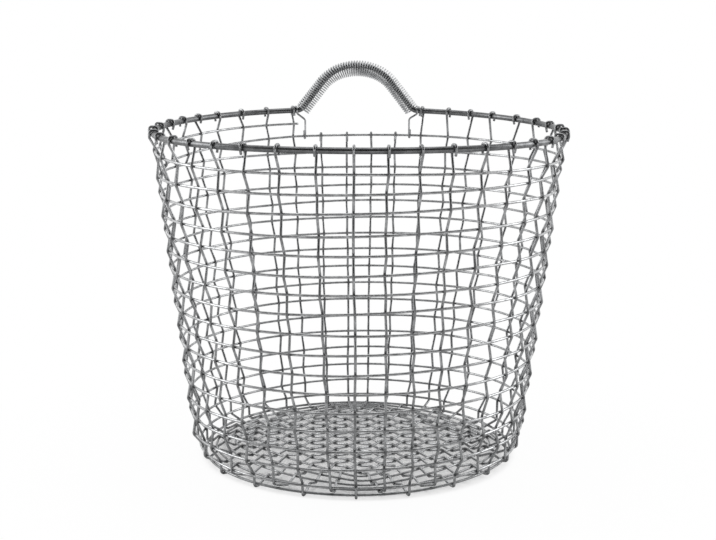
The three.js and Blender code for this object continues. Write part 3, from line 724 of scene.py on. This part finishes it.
curl = np.arange(SPRING_CURLS * STEPS_A_CURL + 1) / STEPS_A_CURL
reach = CROWN_ARC + LEG_LENGTH + SPRING_OVERRUN
along_arch = np.linspace(-reach, reach, BORE_POINTS)
across_arch, up, _ = bore_at(along_arch)
bore = np.cumsum(np.hypot(np.gradient(across_arch), np.gradient(up)))
along_arch = np.interp(curl / SPRING_CURLS, (bore - bore[0]) / (bore[-1] - bore[0]), along_arch)
across_arch, up, lean = bore_at(along_arch)
middle_bearing = handle_bearing(across_arch)
middle = place(np.full(len(curl), RIM_RADIUS), middle_bearing, rim_height(middle_bearing) + up)
radial = outward(middle_bearing)
along_rim = right_of(radial)
over = along_rim * np.sin(lean)[:, None] + UPRIGHT * np.cos(lean)[:, None]
turn = 2 * np.pi * curl[:, None]
away = over * np.cos(turn) - radial * np.sin(turn)
across_coil = SPRING_DIAMETER - LEG_NARROWING * (np.sin(lean) / np.sin(LEG_SLOPE)) ** 2 - SPRING_WIRE
coil = middle + away * across_coil[:, None] / 2
add_wire("handle_spring", coil, away, SPRING_WIRE, SPRING_SIDES, SPRING_ZINC, np.zeros((0, 3)))


# The handle ties. A short wire hooks over the rod at the foot of each leg, slants in below the spring's end
# and goes down to a hook under the top weft, so that the arch can't lift away from the weave.
TIE_WIRE = 2.5
TIE_BEND = 22.0
TIE_ROD_BEARING = 19.8
TIE_WEFT_BEARING = 17.1
TIE_TAIL = 7.5
TIE_PLAY = 0.15
TIE_HOOK = WEFT_CROSSING - 0.2
TIE_BENDS = np.array([1.0, 4.7, 4.7, 4.0, 4.0, 2.7, 2.7, 1.0])
for name, side in (("handle_tie_left", -1), ("handle_tie_right", 1)):
    rod_bearing = HANDLE_BEARING - side * TIE_ROD_BEARING
    weft_bearing = HANDLE_BEARING - side * TIE_WEFT_BEARING
    rim = rim_height(rod_bearing)
    rod_lean = np.arcsin(max(HANDLE_FOOT - np.radians(TIE_ROD_BEARING) * RIM_RADIUS, 0.0) / BEND_RADIUS)
    rod_rise = BEND_RADIUS * (1 - np.cos(rod_lean))
    grip = (RIM_ROD + TIE_WIRE) / 2 + TIE_PLAY
    over = rim + rod_rise + grip / np.cos(rod_lean)
    radius, height = top_weft_at((weft_bearing - end_bearing) % 360)
    radii = [RIM_RADIUS + grip, RIM_RADIUS + grip, RIM_RADIUS - grip, RIM_RADIUS - grip,
             radius - TIE_HOOK, radius - TIE_HOOK, radius + TIE_HOOK, radius + TIE_HOOK]
    bearings = [rod_bearing] * 4 + [weft_bearing] * 4
    heights = [rim - TIE_TAIL, over, over, rim - RIM_ROD / 2,
               height + TIE_BEND, height - TIE_HOOK, height - TIE_HOOK, height + TIE_TAIL]
    corners = place(radii, bearings, np.array(heights))
    across = right_of(outward(bearings))
    line, across = rounded(corners, across, TIE_BENDS)
    touches = place([RIM_RADIUS, radius], [rod_bearing, weft_bearing], np.array([rim + rod_rise, height]))
    add_wire(name, line, across, TIE_WIRE, WIRE_SIDES, STAKE_ZINC, touches)


# The studio. A pale floor that stays white to the camera away from the basket and keeps its soft shadow near
# it, a surround that is white to the camera and whose back the wires mirror, and soft lamps overhead and at
# the sides. Lengths here are in metres.
FLOOR_EDGE = 60
FLOOR_GREY = 0.9
SHADOW_LIFT = 0.14
WHITE_FROM = ((0.168, 0.0), (0.192, 0.955), (0.5, 1.0))
MIRROR_FROM, MIRROR_FULL = 0.4, 2.4
LAMP_AIM = (0.0, 0.0, 0.2)
floor_mesh = bpy.data.meshes.new("studio_floor")
floor_mesh.from_pydata([(-FLOOR_EDGE, -FLOOR_EDGE, 0), (FLOOR_EDGE, -FLOOR_EDGE, 0),
                        (FLOOR_EDGE, FLOOR_EDGE, 0), (-FLOOR_EDGE, FLOOR_EDGE, 0)], [], [(0, 1, 2, 3)])
floor = bpy.data.objects.new("studio_floor", floor_mesh)
bpy.context.scene.collection.objects.link(floor)
paint = bpy.data.materials.new("pale_floor")
paint.use_nodes = True
nodes, links = paint.node_tree.nodes, paint.node_tree.links
nodes.remove(nodes["Principled BSDF"])
diffuse = nodes.new("ShaderNodeBsdfDiffuse")
diffuse.inputs["Color"].default_value = (FLOOR_GREY, FLOOR_GREY, FLOOR_GREY, 1)
lift = nodes.new("ShaderNodeEmission")
path = nodes.new("ShaderNodeLightPath")
dim = nodes.new("ShaderNodeMath")
dim.operation = "MULTIPLY"
dim.inputs[1].default_value = SHADOW_LIFT
links.new(path.outputs["Is Camera Ray"], dim.inputs[0])
links.new(dim.outputs["Value"], lift.inputs["Strength"])
lit = nodes.new("ShaderNodeAddShader")
links.new(diffuse.outputs["BSDF"], lit.inputs[0])
links.new(lift.outputs["Emission"], lit.inputs[1])
white = nodes.new("ShaderNodeEmission")
spot = nodes.new("ShaderNodeTexCoord")
away_from = nodes.new("ShaderNodeVectorMath")
away_from.operation = "LENGTH"
links.new(spot.outputs["Object"], away_from.inputs[0])
fade = nodes.new("ShaderNodeValToRGB")
fade.color_ramp.elements.new(WHITE_FROM[1][0])
for stop, (distance, whiteness) in zip(fade.color_ramp.elements, WHITE_FROM):
    stop.position = distance
    stop.color = (whiteness, whiteness, whiteness, 1)
links.new(away_from.outputs["Value"], fade.inputs["Fac"])
seen = nodes.new("ShaderNodeMath")
seen.operation = "MULTIPLY"
links.new(fade.outputs["Color"], seen.inputs[0])
links.new(path.outputs["Is Camera Ray"], seen.inputs[1])
farness = nodes.new("ShaderNodeMapRange")
farness.interpolation_type = "SMOOTHSTEP"
farness.inputs["From Min"].default_value = MIRROR_FROM
farness.inputs["From Max"].default_value = MIRROR_FULL
links.new(away_from.outputs["Value"], farness.inputs["Value"])
mirrored = nodes.new("ShaderNodeMath")
mirrored.operation = "MULTIPLY"
links.new(farness.outputs["Result"], mirrored.inputs[0])
links.new(path.outputs["Is Glossy Ray"], mirrored.inputs[1])
whitened = nodes.new("ShaderNodeMath")
whitened.operation = "MAXIMUM"
links.new(seen.outputs["Value"], whitened.inputs[0])
links.new(mirrored.outputs["Value"], whitened.inputs[1])
blend = nodes.new("ShaderNodeMixShader")
links.new(whitened.outputs["Value"], blend.inputs["Fac"])
links.new(lit.outputs["Shader"], blend.inputs[1])
links.new(white.outputs["Emission"], blend.inputs[2])
links.new(blend.outputs["Shader"], nodes["Material Output"].inputs["Surface"])
floor_mesh.materials.append(paint)

world = bpy.data.worlds.new("white_surround")
bpy.context.scene.world = world
world.use_nodes = True
nodes, links = world.node_tree.nodes, world.node_tree.links
surround = nodes["Background"]
direction = nodes.new("ShaderNodeTexCoord")
parts = nodes.new("ShaderNodeSeparateXYZ")
links.new(direction.outputs["Generated"], parts.inputs["Vector"])
backness = nodes.new("ShaderNodeMapRange")
backness.interpolation_type = "SMOOTHSTEP"
backness.inputs["From Min"].default_value = -0.8
backness.inputs["From Max"].default_value = 0.45
backness.inputs["To Min"].default_value = 0.02
backness.inputs["To Max"].default_value = 1.0
links.new(parts.outputs["Y"], backness.inputs["Value"])
upness = nodes.new("ShaderNodeMapRange")
upness.interpolation_type = "SMOOTHSTEP"
upness.inputs["From Min"].default_value = 0.35
upness.inputs["From Max"].default_value = 0.95
upness.inputs["To Min"].default_value = 1.0
upness.inputs["To Max"].default_value = 0.4
links.new(parts.outputs["Z"], upness.inputs["Value"])
dimmed = nodes.new("ShaderNodeMath")
dimmed.operation = "MULTIPLY"
links.new(backness.outputs["Result"], dimmed.inputs[0])
links.new(upness.outputs["Result"], dimmed.inputs[1])
path = nodes.new("ShaderNodeLightPath")
level = nodes.new("ShaderNodeMix")
level.data_type = "FLOAT"
level.inputs["B"].default_value = 1.0
links.new(path.outputs["Is Camera Ray"], level.inputs["Factor"])
links.new(dimmed.outputs["Value"], level.inputs["A"])
surround.inputs["Color"].default_value = (1, 1, 1, 1)
links.new(level.outputs["Result"], surround.inputs["Strength"])


def soft_lamp(name, at, aim, size, energy):
    """A square soft lamp at a place, turned to face the place that it lights."""
    lamp = bpy.data.lights.new(name, "AREA")
    lamp.shape = "SQUARE"
    lamp.size = size
    lamp.energy = energy
    holder = bpy.data.objects.new(name, lamp)
    back = np.subtract(at, aim) / np.linalg.norm(np.subtract(at, aim))
    right = np.cross([0.0, 1.0, 0.05], back)
    right = right / np.linalg.norm(right)
    turn = Matrix(np.column_stack([right, np.cross(back, right), back]).tolist()).to_4x4()
    holder.matrix_world = Matrix.Translation(at) @ turn
    bpy.context.scene.collection.objects.link(holder)


soft_lamp("overhead_softbox", at=(0.0, 0.2, 2.6), aim=LAMP_AIM, size=2.4, energy=20.0)
soft_lamp("left_softbox", at=(-2.4, 0.5, 1.2), aim=LAMP_AIM, size=1.6, energy=16.0)
soft_lamp("right_softbox", at=(2.4, 0.5, 1.2), aim=LAMP_AIM, size=1.6, energy=16.0)


# The camera. It stands in front, a little to the left and above the rim, and looks slightly down with a very
# small roll. Its lens is given for a sensor 36 mm wide.
SENSOR_WIDTH = 36.0
LENS_LENGTH = 74.66
CAMERA_SHIFT = 0.5
CAMERA_BEARING = -1.2
CAMERA_DISTANCE = 1739.8
CAMERA_HEIGHT = 559.2
CAMERA_PITCH = np.radians(10.99)
CAMERA_ROLL = np.radians(-0.20)
heading = -outward(CAMERA_BEARING)
right = right_of(heading)
up = UPRIGHT * np.cos(CAMERA_PITCH) + heading * np.sin(CAMERA_PITCH)
back = UPRIGHT * np.sin(CAMERA_PITCH) - heading * np.cos(CAMERA_PITCH)
rolled_right = right * np.cos(CAMERA_ROLL) - up * np.sin(CAMERA_ROLL)
rolled_up = right * np.sin(CAMERA_ROLL) + up * np.cos(CAMERA_ROLL)
station = place(np.array(CAMERA_DISTANCE), CAMERA_BEARING, CAMERA_HEIGHT) - CAMERA_SHIFT * right
lens = bpy.data.cameras.new("camera")
lens.sensor_width = SENSOR_WIDTH
lens.lens = LENS_LENGTH
lens.clip_end = 200.0
camera = bpy.data.objects.new("camera", lens)
camera.matrix_world = (Matrix.Translation((station * MILLIMETRE).tolist())
                       @ Matrix(np.column_stack([rolled_right, rolled_up, back]).tolist()).to_4x4())
bpy.context.scene.collection.objects.link(camera)
bpy.context.scene.camera = camera
bpy.context.scene.view_settings.view_transform = "Standard"
